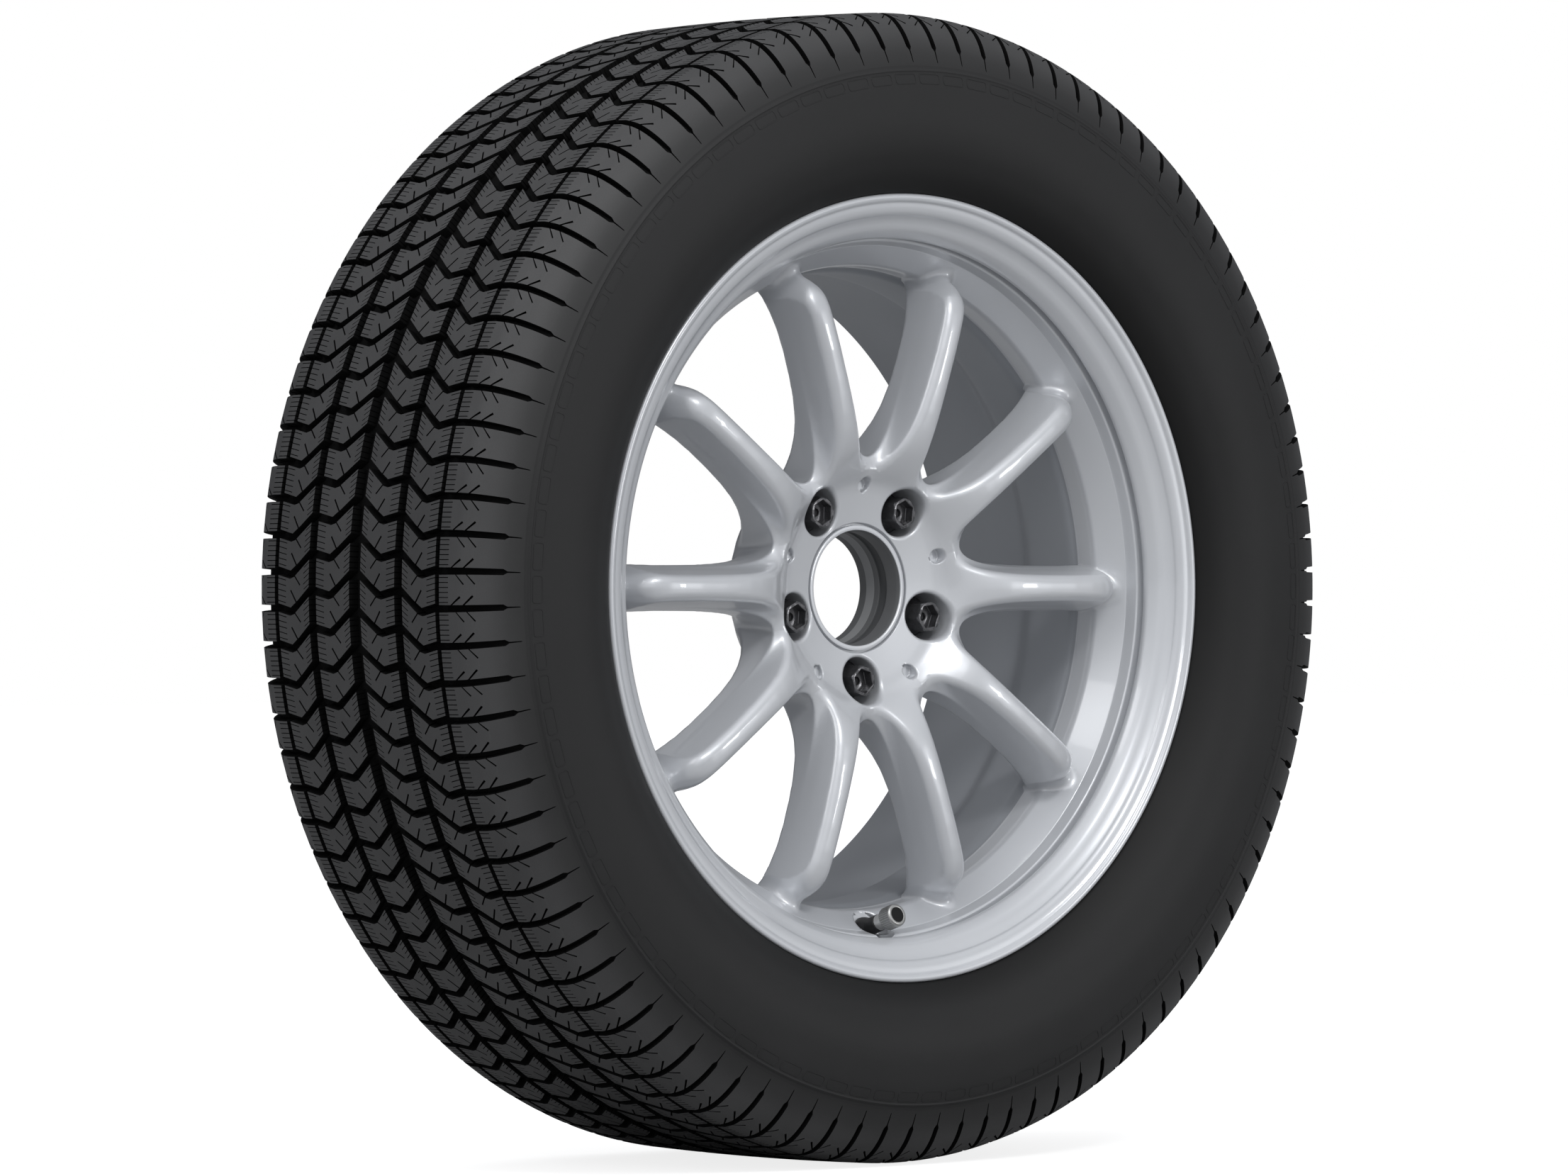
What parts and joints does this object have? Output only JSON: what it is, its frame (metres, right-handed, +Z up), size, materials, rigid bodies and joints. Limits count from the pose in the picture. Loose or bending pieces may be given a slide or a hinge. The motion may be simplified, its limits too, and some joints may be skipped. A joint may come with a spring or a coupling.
{
  "type": "alloy wheel",
  "caption": "Cast multi-spoke alloy road wheel with stepped lip, fitted block-tread winter tyre, hexagon-headed wheel bolts and a snap-in valve with a screw cap.",
  "frame": {"origin": "centre of the tyre, on the spin axis in the tyre's mid-plane", "axes": "+Y along the spin axis towards the car (inboard), the spoked face looks along -Y, +Z up with the valve at the bottom, +X to the right seen from the spoked face"},
  "size_m": [0.6911, 0.238, 0.6912],
  "materials": {
    "silver_paint": "gloss",
    "tyre_rubber": "matte",
    "black_bolt": "satin",
    "valve_rubber": "satin",
    "bright_metal": "polished",
    "grey_metal": "satin",
    "core_metal": "satin",
    "black_disc": "gloss"
  },
  "bodies": {
    "wheel": {"wheel": "silver_paint", "tyre": "tyre_rubber", "wheel_bolt_1": "black_bolt", "wheel_bolt_2": "black_bolt", "wheel_bolt_3": "black_bolt", "wheel_bolt_4": "black_bolt", "wheel_bolt_5": "black_bolt", "valve_body": "valve_rubber", "valve_stem": "bright_metal", "valve_core_body": "core_metal"},
    "cap_washer": {"valve_cap_seal": "valve_rubber"},
    "cap": {"valve_cap": "grey_metal", "valve_cap_disc": "black_disc"},
    "core_pin": {"valve_core_pin": "core_metal", "valve_core_seal": "valve_rubber"}
  },
  "joints": [
    {"name": "cap_travel", "type": "slide", "parent": "wheel", "child": "cap_washer", "axis": [0, -0.95, 0.3123], "range_m": [0, 0.00714]},
    {"name": "cap_turn", "type": "hinge", "parent": "cap_washer", "child": "cap", "pos_m": [0, -0.08599, -0.1957], "axis": [0, -0.95, 0.3123], "range_deg": [0, 3240]},
    {"name": "core_pin_press", "type": "slide", "parent": "wheel", "child": "core_pin", "axis": [0, 0.95, -0.3123], "range_m": [0, 0.0015], "stiffness_N_per_m": 800, "springref_m": -0.004}
  ],
  "couplings": [
    {"joint": "cap_turn", "follows": "cap_travel", "rad_per_m": 7913.3}
  ]
}
